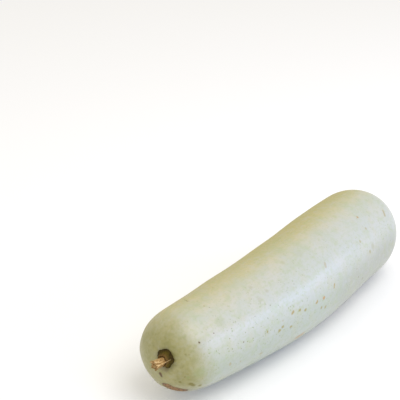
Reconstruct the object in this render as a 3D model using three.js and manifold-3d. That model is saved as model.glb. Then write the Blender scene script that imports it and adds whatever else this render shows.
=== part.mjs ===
// Bottle gourd lying on its side: one grown fruit and the broken stub of its stem.
// Millimetres, +Z up, +X from the stem end to the blossom end, resting on Z = 0.
// A point of the fruit is first given as (along, side, up): how far along the fruit's axis it is
// from the stem end, and how far beside and above that axis. The axis is then bowed.

import * as THREE from 'three';
import { mergeVertices } from 'three/addons/utils/BufferGeometryUtils.js';
import Module from 'manifold-3d';

// Fruit: length of its axis, and its radius at the stem end, at the belly and at the blossom end.
const FRUIT_LENGTH = 398;
const SHOULDER_RADIUS = 40;
const BELLY_RADIUS = 50;
const BLOSSOM_RADIUS = 48.2;
// Share of the length where the belly is fullest.
const BELLY_PLACE = 0.49;
// Rounded ends: reach along the axis, and squareness, where 2 is an ellipse.
const STEM_END = { reach: 37, power: 2.25 };
const BLOSSOM_END = { reach: 53, power: 2 };
// The axis bows sideways by this much over its whole length, and tips by this much as it lies.
const BOW = 16.4;
const TIP_DEGREES = 0.19;
// Slow swells of the rind, fading towards the stem: height, waves round the girth, waves along
// the axis, and turn. The first one makes the axis wander.
const RIND_SWELLS = [
  { height: 1.2, round: 1, along: 2.2, turn: 3.33 },
  { height: 0.9, round: 2, along: 0.8, turn: 0.6 },
  { height: 0.5, round: 3, along: 1.6, turn: 2.1 },
];
// Shallow dips round the stem and at the blossom scar.
const STEM_DIP = { depth: 2.5, radius: 11 };
const BLOSSOM_DIP = { depth: 1.5, radius: 6 };
// Broad spots of the rind that sink, or stand out where the depth is below 0: place and size. The
// first is worn, low on the shoulder where the fruit lay as it grew.
const RIND_SPOTS = [
  { along: 17, degrees: -125, depth: 3, radius: 18 },
  { along: 4, degrees: -5, depth: -1.6, radius: 16 },
  { along: 24, degrees: 42, depth: 0.9, radius: 16 },
  { along: 143, degrees: 47, depth: 1.2, radius: 32 },
  { along: 262, degrees: 47, depth: -2.45, radius: 62 },
  { along: 338, degrees: -148, depth: -1.2, radius: 30 },
  { along: 360, degrees: 125, depth: -0.8, radius: 36 },
  { along: 368, degrees: 47, depth: 1.3, radius: 22 },
];
// Depth of the flat spot on the underside, where the soft rind has settled.
const FLAT_DEPTH = 0.9;

// Stem: where it stands beside and above the middle of its end, and its sizes.
const STEM_SIDE = -11.5;
const STEM_UP = 8;
const STEM_LENGTH = 19.5;
const STEM_RISE = 0.4;
const SHAFT_RADIUS = 4.1;
const COLLAR_RADIUS = 8.4;
const COLLAR_EDGE = 0.8;
const COLLAR_RISE = 0.8;
const FLARE_LENGTH = 7;
const ROOT_RADIUS = 3.4;
const ROOT_DEPTH = 5;
const STEM_RIBS = 5;
const RIB_SHARE = 0.1;
// The end is torn off at a slight slant, with a tooth on each rib.
const TEAR_SLANT = 0.5;
const TEAR_TOOTH = 0.8;
// Clear gap kept between the stem and the fruit.
const GAP = 0.4;

// Facets of the round forms.
const FRUIT_SIDES = 48;
const STEM_SIDES = 40;
const END_STEPS = 14;
const BODY_STEPS = 24;
const FLARE_STEPS = 6;

const { lerp, smoothstep, degToRad } = THREE.MathUtils;
const UP = new THREE.Vector3(0, 0, 1);
const ARC_RADIUS = FRUIT_LENGTH ** 2 / (8 * BOW);
const TIP = degToRad(TIP_DEGREES);

const wasm = await Module();
wasm.setup();

// Radius of the fruit's body, before its ends are rounded off.
function bodyRadius(along) {
  const share = along / FRUIT_LENGTH;
  const filled = lerp(SHOULDER_RADIUS, BELLY_RADIUS, smoothstep(share, 0, BELLY_PLACE));
  return lerp(filled, BLOSSOM_RADIUS, smoothstep(share, BELLY_PLACE, 1));
}

// How far a dip sinks at this distance from its middle.
function sink(dip, distance) {
  return dip.depth * Math.exp(-((distance / dip.radius) ** 2));
}

// Points of a rounded end from its tip to the body, as (share of the radius, distance from the tip).
function endArc(end) {
  const arc = [];
  for (let step = 0; step <= END_STEPS; step += 1) {
    const angle = (step / END_STEPS) * (Math.PI / 2);
    const share = Math.sin(angle) ** (2 / end.power);
    const reach = end.reach * (1 - Math.cos(angle) ** (2 / end.power));
    arc.push(new THREE.Vector2(share, reach));
  }
  return arc;
}

// Profile of the fruit from its stem end to its blossom scar, as (radius, along).
function fruitProfile() {
  const stemEnd = endArc(STEM_END).map(
    (point) => new THREE.Vector2(point.x * bodyRadius(point.y), point.y),
  );
  const blossomEnd = endArc(BLOSSOM_END).map((point) => {
    const along = FRUIT_LENGTH - point.y;
    const radius = point.x * bodyRadius(along);
    return new THREE.Vector2(radius, along - sink(BLOSSOM_DIP, radius));
  });
  const body = [];
  for (let step = 1; step < BODY_STEPS; step += 1) {
    const along = lerp(STEM_END.reach, FRUIT_LENGTH - BLOSSOM_END.reach, step / BODY_STEPS);
    body.push(new THREE.Vector2(bodyRadius(along), along));
  }
  return [...stemEnd, ...body, ...blossomEnd.reverse()];
}

// Unevenness of the rind at a share of the fruit's length and an angle round it.
function rindSwell(share, angle) {
  let total = 0;
  for (const swell of RIND_SWELLS) {
    const phase = swell.round * angle + swell.along * share * 2 * Math.PI + swell.turn;
    total += swell.height * Math.sin(phase);
  }
  return total * share;
}

// How far the broad spots sink at a place on the rind.
function spotDepth(along, angle, radius) {
  let total = 0;
  for (const spot of RIND_SPOTS) {
    const round = Math.abs(angle - degToRad(spot.degrees));
    const turn = Math.min(round, 2 * Math.PI - round);
    total += sink(spot, Math.hypot(along - spot.along, radius * turn));
  }
  return total;
}

// Place of a point given as (along, side, up), with the axis bowed and tipped.
function lay(along, side, up) {
  const angle = (along - FRUIT_LENGTH / 2) / ARC_RADIUS;
  const straight = (ARC_RADIUS - side) * Math.sin(angle);
  const bowed = ARC_RADIUS - (ARC_RADIUS - side) * Math.cos(angle);
  const x = straight * Math.cos(TIP) + up * Math.sin(TIP);
  const z = up * Math.cos(TIP) - straight * Math.sin(TIP);
  return new THREE.Vector3(x, bowed, z);
}

// Geometry with only its places, and shared corners.
function bare(geometry) {
  geometry.deleteAttribute('normal');
  geometry.deleteAttribute('uv');
  return mergeVertices(geometry);
}

// Moves every corner of a geometry by a rule.
function reshape(geometry, rule) {
  const { position } = geometry.attributes;
  const point = new THREE.Vector3();
  for (let index = 0; index < position.count; index += 1) {
    point.fromBufferAttribute(position, index);
    const moved = rule(point);
    position.setXYZ(index, moved.x, moved.y, moved.z);
  }
  return geometry;
}

// Solid of a geometry with shared corners, without the empty triangles at a lathe's poles.
function toSolid(geometry) {
  const corners = geometry.index.array;
  const triVerts = [];
  for (let first = 0; first < corners.length; first += 3) {
    const [a, b, c] = corners.slice(first, first + 3);
    if (a !== b && b !== c && c !== a) {
      triVerts.push(a, b, c);
    }
  }
  const vertProperties = new Float32Array(geometry.attributes.position.array);
  const mesh = new wasm.Mesh({ numProp: 3, vertProperties, triVerts: new Uint32Array(triVerts) });
  return new wasm.Manifold(mesh);
}

// Geometry of a solid.
function toGeometry(solid) {
  const mesh = solid.getMesh();
  const geometry = new THREE.BufferGeometry();
  geometry.setAttribute('position', new THREE.BufferAttribute(mesh.vertProperties, 3));
  geometry.setIndex(new THREE.BufferAttribute(mesh.triVerts, 1));
  geometry.computeVertexNormals();
  return geometry;
}

// Stem's own frame: its root on the dipped rind, +Y out along it, and +Z as near up as that allows.
function stemFrame() {
  const { reach, power } = STEM_END;
  const offset = Math.hypot(STEM_SIDE, STEM_UP);
  const share = offset / SHOULDER_RADIUS;
  const height = (1 - share ** power) ** (1 / power);
  const slope = (reach / SHOULDER_RADIUS) * (share / height) ** (power - 1);
  const along = reach * (1 - height) + STEM_DIP.depth;
  const lean = slope / offset;
  const root = lay(along, STEM_SIDE, STEM_UP);
  const nearby = lay(along - 1, STEM_SIDE * (1 + lean), STEM_UP * (1 + lean));
  const out = nearby.sub(root).normalize();
  const across = new THREE.Vector3().crossVectors(out, UP).normalize();
  const over = new THREE.Vector3().crossVectors(across, out);
  return new THREE.Matrix4().makeBasis(across, out, over).setPosition(root);
}

// Whole fruit, before its underside and its stem socket are cut.
function fruitBody() {
  const lathe = bare(new THREE.LatheGeometry(fruitProfile(), FRUIT_SIDES));
  lathe.rotateZ(-Math.PI / 2);
  const rind = reshape(lathe, (point) => {
    const angle = Math.atan2(point.z, point.y);
    const radius = Math.hypot(point.y, point.z);
    const swell = (radius / BELLY_RADIUS) * rindSwell(point.x / FRUIT_LENGTH, angle);
    const uneven = swell - spotDepth(point.x, angle, radius);
    const side = point.y + uneven * Math.cos(angle);
    const up = point.z + uneven * Math.sin(angle);
    const nearStem = point.x < FRUIT_LENGTH / 2;
    const dip = nearStem ? sink(STEM_DIP, Math.hypot(side - STEM_SIDE, up - STEM_UP)) : 0;
    return lay(point.x + dip, side, up);
  });
  return toSolid(rind);
}

// Fruit with its flat spot and its socket, and the height of that flat spot.
function buildFruit(stemPlace) {
  const body = fruitBody();
  const floor = body.boundingBox().min[2] + FLAT_DEPTH;
  const block = new THREE.BoxGeometry(2 * FRUIT_LENGTH, 4 * BELLY_RADIUS, BELLY_RADIUS);
  block.translate(0, 0, floor - BELLY_RADIUS / 2);
  const hole = ROOT_RADIUS + GAP;
  const socket = new THREE.CylinderGeometry(hole, hole, 2 * (ROOT_DEPTH + GAP), STEM_SIDES);
  socket.applyMatrix4(stemPlace);
  const cut = body.subtract(toSolid(bare(block))).subtract(toSolid(bare(socket)));
  return { geometry: toGeometry(cut), floor };
}

// Profile of the stem from the end of its root to its torn tip, as (radius, height above the rind).
function stemProfile() {
  const collarUnder = GAP + COLLAR_RISE;
  const collarTop = collarUnder + COLLAR_EDGE;
  const flare = new THREE.QuadraticBezierCurve(
    new THREE.Vector2(COLLAR_RADIUS, collarTop),
    new THREE.Vector2(SHAFT_RADIUS, collarTop + FLARE_LENGTH / 4),
    new THREE.Vector2(SHAFT_RADIUS, collarTop + FLARE_LENGTH),
  );
  return [
    new THREE.Vector2(0, -ROOT_DEPTH),
    new THREE.Vector2(ROOT_RADIUS, -ROOT_DEPTH),
    new THREE.Vector2(ROOT_RADIUS, GAP),
    new THREE.Vector2(COLLAR_RADIUS, collarUnder),
    ...flare.getPoints(FLARE_STEPS),
    new THREE.Vector2(SHAFT_RADIUS, (collarTop + FLARE_LENGTH + STEM_LENGTH) / 2),
    new THREE.Vector2(SHAFT_RADIUS, STEM_LENGTH),
    new THREE.Vector2(0, STEM_LENGTH),
  ];
}

// Broken stem in its own frame: ribbed above the rind, curving up a little towards its torn end.
function buildStem() {
  const lathe = bare(new THREE.LatheGeometry(stemProfile(), STEM_SIDES));
  const stem = reshape(lathe, (point) => {
    const angle = Math.atan2(point.z, point.x);
    const rib = Math.cos(STEM_RIBS * angle);
    const radius = Math.hypot(point.x, point.z);
    const ribbed = radius > ROOT_RADIUS + GAP ? radius * (1 + RIB_SHARE * rib) : radius;
    const torn = point.y > STEM_LENGTH - GAP && radius > 0;
    const tear = torn ? TEAR_SLANT * Math.sin(angle) + TEAR_TOOTH * rib : 0;
    const rise = STEM_RISE * (Math.max(point.y, 0) / STEM_LENGTH) ** 2;
    return new THREE.Vector3(
      ribbed * Math.cos(angle),
      point.y + tear,
      ribbed * Math.sin(angle) + rise,
    );
  });
  return toGeometry(toSolid(stem));
}

function piece(name, geometry, finish) {
  const mesh = new THREE.Mesh(geometry, new THREE.MeshStandardMaterial(finish));
  mesh.name = name;
  return mesh;
}

// The origin is under the middle of the whole gourd's box, on the surface it lies on.
function buildGourd() {
  const stemPlace = stemFrame();
  const { geometry, floor } = buildFruit(stemPlace);
  const fruit = piece('gourd_fruit', geometry, { color: 0xd0d3b4, roughness: 0.45, metalness: 0 });
  const stem = piece('stem_stub', buildStem(), { color: 0x8f6f43, roughness: 0.85, metalness: 0 });
  stem.applyMatrix4(stemPlace);
  const gourd = new THREE.Group();
  gourd.add(fruit, stem);
  const box = new THREE.Box3().setFromObject(gourd, true);
  const middle = box.getCenter(new THREE.Vector3());
  gourd.position.set(-middle.x, -middle.y, -floor);
  return gourd;
}

export default buildGourd();
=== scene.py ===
"""Looks of a bottle gourd that lies on its side: its waxy, flecked rind and the broken stub of its stem.

Metres, +Z up, +X from the stem end to the blossom end. A place on the rind is given as the fruit grew: how
far along its axis it is from the stem end, and its angle round that axis, in degrees, where 0 is the hollow
side of the bow, 90 the top, 180 the bulging side and -90 the underside.
"""

import logging
import math
import random
from collections.abc import Callable, Sequence
from dataclasses import dataclass, field
from enum import Enum

import bmesh
import bpy
from mathutils import Matrix, Vector, noise

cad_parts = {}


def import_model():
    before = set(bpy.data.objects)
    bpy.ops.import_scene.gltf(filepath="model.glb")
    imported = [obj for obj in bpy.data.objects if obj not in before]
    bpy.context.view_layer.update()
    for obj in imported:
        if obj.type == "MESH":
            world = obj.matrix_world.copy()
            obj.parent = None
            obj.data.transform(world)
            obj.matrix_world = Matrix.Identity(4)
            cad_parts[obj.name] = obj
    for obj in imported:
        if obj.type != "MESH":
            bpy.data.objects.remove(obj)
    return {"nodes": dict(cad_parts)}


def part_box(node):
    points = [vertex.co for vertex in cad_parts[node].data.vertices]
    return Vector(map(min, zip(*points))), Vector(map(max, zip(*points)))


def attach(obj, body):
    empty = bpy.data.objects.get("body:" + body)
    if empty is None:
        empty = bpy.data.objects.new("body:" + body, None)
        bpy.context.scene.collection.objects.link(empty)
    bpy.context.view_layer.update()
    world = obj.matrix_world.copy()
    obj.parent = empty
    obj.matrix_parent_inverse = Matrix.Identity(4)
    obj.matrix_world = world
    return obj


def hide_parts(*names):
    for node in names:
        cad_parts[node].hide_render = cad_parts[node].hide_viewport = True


LOG = logging.getLogger("bottle_gourd")
BODY = "root"
FRUIT_NODE = "gourd_fruit"
STEM_NODE = "stem_stub"
MERGE_DISTANCE = 1e-6
TURN = 2 * math.pi
UP = Vector((0, 0, 1))
# How far to step when a direction is worked out from two places.
PROBE = 0.001

Colour = tuple[float, float, float, float]
# Where a smooth rise or fall starts and where it ends.
Span = tuple[float, float]
# How far ragged edges are pushed about, and how large the patches are that move together.
Warp = tuple[float, float]
# Takes a radius, a height and an angle to a new radius and height.
Rule = Callable[[float, float, float], tuple[float, float]]


def srgb(red: int, green: int, blue: int) -> Colour:
    """Turns a colour as a screen shows it into the linear colour that a shader takes.

    Args:
        red: Red, from 0 to 255.
        green: Green, from 0 to 255.
        blue: Blue, from 0 to 255.

    Returns:
        The linear colour, with full alpha.
    """

    def linear(part: int) -> float:
        """Turns one channel into its linear value."""
        share = part / 255
        return share / 12.92 if share <= 0.04045 else ((share + 0.055) / 1.055) ** 2.4

    return linear(red), linear(green), linear(blue), 1.0


def blend(first: float, second: float, share: float) -> float:
    """Goes from the first number to the second by a share."""
    return first + (second - first) * share


def smooth_step(value: float, low: float, high: float) -> float:
    """Rises smoothly from 0 at low to 1 at high."""
    share = min(max((value - low) / (high - low), 0.0), 1.0)
    return share * share * (3 - 2 * share)


def hill(distance: float, width: float) -> float:
    """A soft hill, 1 in its middle, that has faded at about twice its width."""
    return math.exp(-((distance / width) ** 2))


def line_distance(point: Vector, start: Vector, end: Vector) -> float:
    """Measures how far a point is from a straight line between two ends.

    Args:
        point: The point.
        start: One end of the line.
        end: Its other end.

    Returns:
        The distance in metres.
    """
    reach = end - start
    share = (point - start).dot(reach) / reach.length_squared
    return (point - start - reach * min(max(share, 0.0), 1.0)).length


def direction(azimuth: float, elevation: float) -> Vector:
    """Direction from the gourd to a viewer or a light.

    Args:
        azimuth: Degrees round the gourd, where 0 is on the -Y side and 90 on the +X side.
        elevation: Degrees above the floor.

    Returns:
        A unit vector.
    """
    turn, rise = math.radians(azimuth), math.radians(elevation)
    return Vector((math.sin(turn) * math.cos(rise), -math.cos(turn) * math.cos(rise), math.sin(rise)))


def spin_profile(
    skin: bmesh.types.BMesh, profile: Sequence[Vector], axis: Vector, sides: int
) -> list[bmesh.types.BMVert]:
    """Adds a closed skin, spun from an open profile whose ends lie on the axis.

    Args:
        skin: The mesh to add it to.
        profile: Points of the profile, in order.
        axis: Axis through the origin to spin it round.
        sides: How many steps the spin takes.

    Returns:
        The new corners, with doubles merged.
    """
    older = set(skin.verts)
    corners = [skin.verts.new(point) for point in profile]
    edges = [skin.edges.new(pair) for pair in zip(corners, corners[1:])]
    bmesh.ops.spin(
        skin,
        geom=corners + edges,
        cent=(0, 0, 0),
        axis=axis,
        angle=TURN,
        steps=sides,
        use_merge=True,
    )
    added = [corner for corner in skin.verts if corner not in older]
    bmesh.ops.remove_doubles(skin, verts=added, dist=MERGE_DISTANCE)
    return [corner for corner in skin.verts if corner not in older]


def finish_piece(skin: bmesh.types.BMesh, name: str, material: bpy.types.Material) -> bpy.types.Object:
    """Turns a bmesh into a smooth, dressed object at the origin.

    Args:
        skin: The mesh, which is freed.
        name: Name of the piece.
        material: What it is dressed in.

    Returns:
        The new object.
    """
    bmesh.ops.recalc_face_normals(skin, faces=skin.faces)
    for face in skin.faces:
        face.smooth = True
    mesh = bpy.data.meshes.new(name)
    skin.to_mesh(mesh)
    skin.free()
    mesh.materials.append(material)
    piece = bpy.data.objects.new(name, mesh)
    bpy.context.scene.collection.objects.link(piece)
    return piece


class Value:
    """A number that changes over a surface: one node socket, with arithmetic."""

    def __init__(self, recipe: "Recipe", socket: bpy.types.NodeSocket) -> None:
        """Wraps a socket of a recipe."""
        self.recipe = recipe
        self.socket = socket

    def output(self, name: str) -> "Value":
        """Another output of the same node."""
        return Value(self.recipe, self.socket.node.outputs[name])

    def math(self, operation: str, *others: "Value | float") -> "Value":
        """Adds a Math node with this value first."""
        inputs = dict(enumerate((self, *others)))
        return self.recipe.node("ShaderNodeMath", {"operation": operation}, inputs)

    def reflected(self, operation: str, first: float) -> "Value":
        """Adds a Math node with this value second."""
        inputs = {0: first, 1: self}
        return self.recipe.node("ShaderNodeMath", {"operation": operation}, inputs)

    def __add__(self, other: "Value | float") -> "Value":
        """Adds."""
        return self.math("ADD", other)

    def __radd__(self, other: float) -> "Value":
        """Adds to a number."""
        return self.reflected("ADD", other)

    def __sub__(self, other: "Value | float") -> "Value":
        """Subtracts."""
        return self.math("SUBTRACT", other)

    def __rsub__(self, other: float) -> "Value":
        """Subtracts from a number."""
        return self.reflected("SUBTRACT", other)

    def __mul__(self, other: "Value | float") -> "Value":
        """Multiplies."""
        return self.math("MULTIPLY", other)

    def __rmul__(self, other: float) -> "Value":
        """Multiplies a number."""
        return self.reflected("MULTIPLY", other)

    def larger(self, other: "Value | float") -> "Value":
        """Takes the larger of two values."""
        return self.math("MAXIMUM", other)

    def step(self, low: float, high: float) -> "Value":
        """Rises smoothly from 0 at low to 1 at high."""
        settings = {"interpolation_type": "SMOOTHSTEP", "clamp": True}
        return self.recipe.node("ShaderNodeMapRange", settings, {0: self, 1: low, 2: high})

    def within(self, edge: Span, radius: float = 1.0) -> "Value":
        """Falls smoothly from 1 to 0 over an edge given as shares of a radius."""
        return 1 - self.step(edge[0] * radius, edge[1] * radius)


class Recipe:
    """A material in the making: its node tree, and the nodes that the finishes share."""

    def __init__(self, name: str) -> None:
        """Starts a material.

        Args:
            name: Its name.
        """
        self.material = bpy.data.materials.new(name)
        self.material.use_nodes = True
        self.tree = self.material.node_tree
        self.shader = self.tree.nodes["Principled BSDF"]
        self.place = self.node("ShaderNodeTexCoord", {}, {}, "Object")

    def node(
        self,
        kind: str,
        settings: dict[str, object],
        inputs: dict[int | str, object],
        output: int | str = 0,
    ) -> Value:
        """Adds a node.

        Args:
            kind: Type of the node.
            settings: Its own settings, which are set first.
            inputs: Numbers, colours or values for its sockets.
            output: The socket to hand on.

        Returns:
            That output.
        """
        made = self.tree.nodes.new(kind)
        for name, setting in settings.items():
            setattr(made, name, setting)
        for key, given in inputs.items():
            self.feed(made.inputs[key], given)
        return Value(self, made.outputs[output])

    def feed(self, socket: bpy.types.NodeSocket, given: object) -> None:
        """Links a value to a socket, or sets the socket to a number or colour.

        Args:
            socket: The socket.
            given: The value, number or colour.
        """
        if isinstance(given, Value):
            self.tree.links.new(given.socket, socket)
        else:
            socket.default_value = given

    def mix(self, first: Value | Colour, second: Value | Colour, share: Value | float) -> Value:
        """Mixes two colours, by the share that the second one has."""
        settings = {"data_type": "RGBA", "clamp_factor": True}
        return self.node("ShaderNodeMix", settings, {0: share, 6: first, 7: second}, 2)

    def vector(self, operation: str, first: object, second: object, output: str = "Vector") -> Value:
        """Adds a Vector Math node for two vectors."""
        return self.node("ShaderNodeVectorMath", {"operation": operation}, {0: first, 1: second}, output)

    def stretched(self, scale: tuple[float, float, float]) -> Value:
        """Object coordinates with each axis scaled."""
        return self.node("ShaderNodeMapping", {}, {"Vector": self.place, "Scale": scale})

    def grain(self, size: float, detail: float = 2.0, place: Value | None = None) -> Value:
        """Soft noise from 0 to 1, with patches of a size in metres and a number of finer layers."""
        inputs = {"Vector": place or self.place, "Scale": 1 / size, "Detail": detail}
        return self.node("ShaderNodeTexNoise", {}, inputs)

    def warped(self, amount: float, size: float) -> Value:
        """Object coordinates pushed about by noise, so that edges come out ragged.

        Args:
            amount: How far a point is pushed, in metres.
            size: Size of the noise's patches in metres.

        Returns:
            The pushed coordinates.
        """
        inputs = {"Vector": self.place, "Scale": 1 / size, "Detail": 2.0}
        colour = self.node("ShaderNodeTexNoise", {}, inputs, "Color")
        push = self.vector("SUBTRACT", colour, (0.5, 0.5, 0.5))
        settings = {"operation": "MULTIPLY_ADD"}
        reach = (2 * amount, 2 * amount, 2 * amount)
        return self.node("ShaderNodeVectorMath", settings, {0: push, 1: reach, 2: self.place})

    def slope(self, middle: Vector, towards: tuple[float, float, float], reach: float) -> Value:
        """Height of a point above a middle in one direction, as a share of a reach.

        Args:
            middle: Where the height is 0.
            towards: The direction.
            reach: Distance at which the height is 1.

        Returns:
            The height.
        """
        offset = self.vector("SUBTRACT", self.place, middle)
        unit = Vector(towards).normalized() / reach
        return self.vector("DOT_PRODUCT", offset, unit, "Value")

    def away(self, place: Value, start: Vector, end: Vector | None = None) -> Value:
        """Distance from a point, or from a straight line between two ends.

        Args:
            place: Coordinates to measure from.
            start: The point, or one end of the line.
            end: The line's other end.

        Returns:
            The distance in metres.
        """
        if end is None:
            return self.vector("DISTANCE", place, start, "Value")
        reach = end - start
        offset = self.vector("SUBTRACT", place, start)
        share = self.vector("DOT_PRODUCT", offset, reach / reach.length_squared, "Value")
        held = self.node("ShaderNodeClamp", {}, {0: share})
        scaled = self.node("ShaderNodeVectorMath", {"operation": "SCALE"}, {0: reach, 3: held})
        return self.vector("DISTANCE", offset, scaled, "Value")

    def dress(
        self, colour: Value, roughness: Value, height: Value, depth: float, shine: float
    ) -> bpy.types.Material:
        """Feeds the shader.

        Args:
            colour: Colour of the surface.
            roughness: Its roughness.
            height: Fine relief from 0 to 1.
            depth: How deep that relief is, in metres.
            shine: How strongly it mirrors, where 0.5 is usual.

        Returns:
            The finished material.
        """
        self.feed(self.shader.inputs["Base Color"], colour)
        self.feed(self.shader.inputs["Roughness"], roughness)
        bump = self.node("ShaderNodeBump", {}, {"Distance": depth, "Height": height})
        self.feed(self.shader.inputs["Normal"], bump)
        self.feed(self.shader.inputs["Specular IOR Level"], shine)
        return self.material


@dataclass(frozen=True)
class Patches:
    """Soft patches drawn by chance: their size, their finer layers and the noise that makes a patch."""

    size: float
    detail: float
    rise: Span

    def shown(self, recipe: Recipe) -> Value:
        """1 in a patch and 0 outside."""
        return recipe.grain(self.size, self.detail).step(*self.rise)


@dataclass(frozen=True)
class Specks:
    """Round specks drawn by chance: usual spacing, largest radius, share of chances kept, ragged edges."""

    spacing: float
    radius: float
    kept: float
    warp: Warp | None = None
    edge: Span = (0.5, 1.0)

    def shown(self, recipe: Recipe) -> Value:
        """Scatters the specks.

        Args:
            recipe: The material in the making.

        Returns:
            1 in a speck and 0 outside.
        """
        place = recipe.warped(*self.warp) if self.warp else recipe.place
        inputs = {"Vector": place, "Scale": 1 / self.spacing}
        distance = recipe.node("ShaderNodeTexVoronoi", {}, inputs, "Distance")
        chance = recipe.node("ShaderNodeSeparateColor", {}, {0: distance.output("Color")})
        return chance.math("LESS_THAN", self.kept) * distance.within(self.edge, self.radius / self.spacing)


class MarkTone(Enum):
    """Colours that a mark on the rind can have."""

    TAN = srgb(158, 143, 96)
    KHAKI = srgb(148, 142, 92)
    ORANGE = srgb(170, 138, 90)
    DARK = srgb(84, 54, 0)
    OLIVE = srgb(112, 104, 24)
    LEAF = srgb(130, 148, 84)
    GREY = srgb(176, 178, 164)


@dataclass(frozen=True)
class Mark:
    """A mark on the rind: round, or a line where it has another end."""

    along: float
    degrees: float
    radius: float
    end_along: float | None = None
    end_degrees: float | None = None
    strength: float = 1.0


MARKS = {
    MarkTone.TAN: (
        Mark(0.1731, 171.5, 0.0018, 0.1749, 170.5),
        Mark(0.1364, 166, 0.0019, 0.1386, 165),
        Mark(0.2047, 168.5, 0.0014, 0.2060, 165),
        Mark(0.2037, 138, 0.0018, 0.2022, 142, 0.5),
        Mark(0.0949, -161.5, 0.0021, 0.0962, -161, 0.6),
        Mark(0.0540, -171, 0.0018, 0.0548, -170, 0.6),
        Mark(0.0679, -166, 0.0016, strength=0.5),
        Mark(0.1227, 168, 0.0014, strength=0.45),
        Mark(0.2740, 143.5, 0.0019, strength=0.7),
        Mark(0.2971, 136, 0.0020, strength=0.6),
        Mark(0.3478, 135, 0.0019, 0.3450, 141, 0.7),
        Mark(0.1530, 9, 0.0017),
        Mark(0.1705, 19, 0.0018, 0.1730, 18),
        Mark(0.2440, -14, 0.0019),
        Mark(0.0745, -34, 0.0018, 0.0772, -35),
        Mark(0.1190, -71, 0.0020),
        Mark(0.3010, -82, 0.0019),
    ),
    MarkTone.KHAKI: (
        Mark(0.2871, 163, 0.0026, strength=0.8),
        Mark(0.1080, 114, 0.0030, strength=0.2),
        Mark(0.1065, 132, 0.0036, strength=0.2),
        Mark(0.1196, 128, 0.0026, strength=0.22),
        Mark(0.1613, 110, 0.0028, strength=0.2),
        Mark(0.1814, -178, 0.0021),
        Mark(0.1893, -175, 0.0024),
        Mark(0.1470, 167.5, 0.0017, 0.1481, 167.5),
        Mark(0.1549, 171.5, 0.0017, 0.1560, 171.5),
        Mark(0.1213, 175.5, 0.0018, 0.1225, 175.5),
        Mark(0.1170, 178, 0.0019, 0.1179, 178),
        Mark(0.1331, -178.5, 0.0018, 0.1343, -178.5),
        Mark(0.1011, 171, 0.0017),
        Mark(0.2956, 159.5, 0.0044, strength=0.35),
        Mark(0.1480, 16, 0.0019),
        Mark(0.1565, 13, 0.0016),
        Mark(0.3330, -8, 0.0018),
        Mark(0.2320, -104, 0.0021),
    ),
    MarkTone.ORANGE: (
        Mark(0.1851, 172, 0.0019, 0.1864, 171.5),
        Mark(0.2987, 119, 0.0020),
        Mark(0.1528, -149, 0.0037, 0.1613, -150, 0.9),
        Mark(0.2065, -22, 0.0030, 0.2130, -23, 0.6),
    ),
    MarkTone.DARK: (
        Mark(0.0257, 142, 0.0012),
        Mark(0.0432, 140, 0.0009),
        Mark(0.0710, 168, 0.0009, strength=0.8),
        Mark(0.0563, 108, 0.0007, strength=0.5),
        Mark(0.0918, 146, 0.0007, strength=0.5),
        Mark(0.0011, -126, 0.0023, 0.0015, -124),
        Mark(0.0517, 71, 0.0006, 0.0501, 78, 0.5),
        # Painted shadow of the stem on the rind below its collar.
        Mark(0.0007, -172, 0.0048, 0.0014, -176, 0.4),
        Mark(0.0620, 22, 0.0010, strength=0.8),
        Mark(0.2210, 8, 0.0009, strength=0.7),
        Mark(0.3120, 41, 0.0008, strength=0.6),
    ),
    MarkTone.OLIVE: (
        Mark(0.0160, -154, 0.0030, 0.0186, -151),
        Mark(0.0245, -150, 0.0021),
        Mark(0.0087, -153, 0.0016, strength=0.9),
        Mark(0.0101, -169.5, 0.0012, strength=0.5),
        Mark(0.0122, 150, 0.0013, strength=0.4),
        Mark(0.0144, 152, 0.0012, strength=0.35),
        Mark(0.0105, -168, 0.0090, strength=0.14),
        Mark(0.2562, -179, 0.0015, strength=0.7),
        Mark(0.2686, -169.5, 0.0017, strength=0.7),
        Mark(0.0960, -18, 0.0016, strength=0.6),
        Mark(0.2630, -31, 0.0017, strength=0.6),
    ),
    MarkTone.LEAF: (
        Mark(0.0122, -169, 0.0022, strength=0.35),
        Mark(0.0201, -177, 0.0075, strength=0.3),
        Mark(0.0548, 132, 0.0065, strength=0.22),
        Mark(0.0400, 176, 0.0240, strength=0.09),
        Mark(0.1330, -6, 0.0080, strength=0.25),
        Mark(0.2880, 12, 0.0070, strength=0.25),
    ),
    MarkTone.GREY: (
        Mark(0.1860, 112, 0.0055, strength=0.45),
    ),
}


@dataclass(frozen=True)
class Swell:
    """A slow wave of the rind: its height, waves round and along the fruit, and turn."""

    height: float
    around: int
    along: float
    turn: float


@dataclass(frozen=True)
class Dip:
    """A shallow round dip."""

    depth: float
    radius: float

    def sink(self, distance: float) -> float:
        """How deep the dip is at a distance from its middle."""
        return self.depth * hill(distance, self.radius)


@dataclass(frozen=True)
class Spot:
    """A broad spot of the rind: its place, and its dip, which stands out where its depth is below 0."""

    along: float
    degrees: float
    dip: Dip

    def sink(self, along: float, angle: float, radius: float) -> float:
        """How deep the spot is at a place on the rind.

        Args:
            along: Distance along the axis.
            angle: Angle round it.
            radius: Distance from it.

        Returns:
            The depth in metres.
        """
        round_by = abs(angle - math.radians(self.degrees))
        turned = min(round_by, TURN - round_by)
        return self.dip.sink(math.hypot(along - self.along, radius * turned))


@dataclass(frozen=True)
class RoundEnd:
    """A rounded end of the fruit: its reach along the axis and its squareness, where 2 is an ellipse."""

    reach: float
    power: float

    def arc(self, steps: int) -> list[tuple[float, float]]:
        """Runs from the tip to the body.

        Args:
            steps: How many steps it takes.

        Returns:
            Pairs of a share of the radius and a distance from the tip.
        """
        angles = [step / steps * math.pi / 2 for step in range(steps + 1)]
        angles[-1] = math.pi / 2
        power = 2 / self.power
        return [
            (math.sin(angle) ** power, self.reach * (1 - max(math.cos(angle), 0.0) ** power))
            for angle in angles
        ]


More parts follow.
